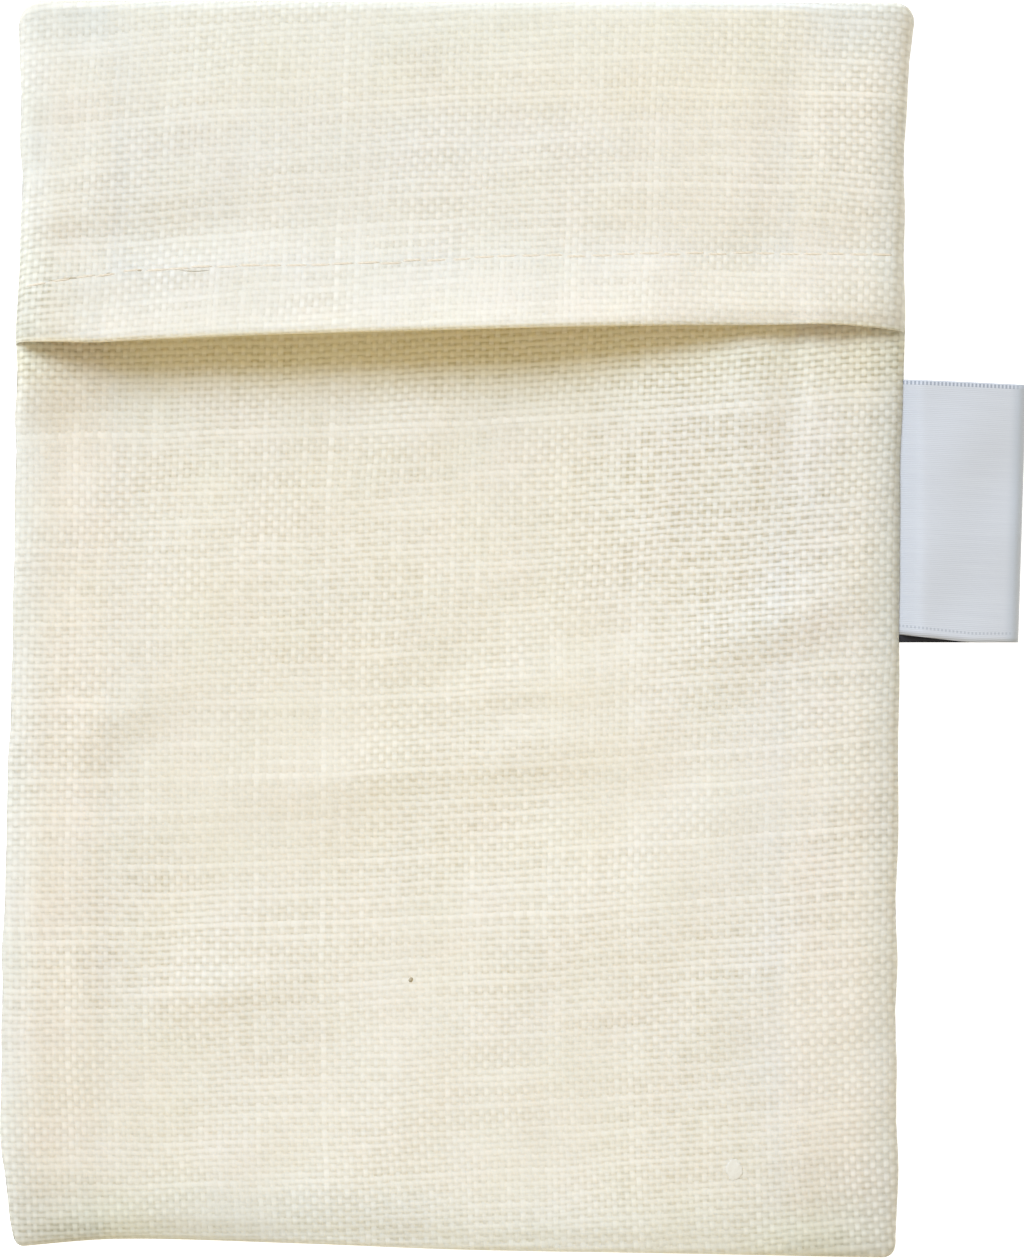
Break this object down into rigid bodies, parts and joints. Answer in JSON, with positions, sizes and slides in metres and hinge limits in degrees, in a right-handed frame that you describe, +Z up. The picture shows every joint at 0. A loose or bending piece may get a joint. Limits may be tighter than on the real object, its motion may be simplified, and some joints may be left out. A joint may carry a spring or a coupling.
{
  "type": "soap bag",
  "caption": "Small flat envelope pouch of cream open-weave cloth with a hemmed flap folded over the front and a folded ribbon label in its side seam, lying empty on its back.",
  "frame": {"origin": "on the surface that the bag lies on, under the middle of its back panel", "axes": "+X to the right seam with the label, +Y up the bag to its top fold, +Z up, away from the surface"},
  "size_m": [0.1142, 0.14, 0.0121],
  "materials": {
    "cream_cloth": "open plain weave, matt",
    "white_satin": "satin ribbon"
  },
  "bodies": {
    "root": {"bag_cloth": "cream_cloth", "label": "white_satin"}
  },
  "joints": []
}
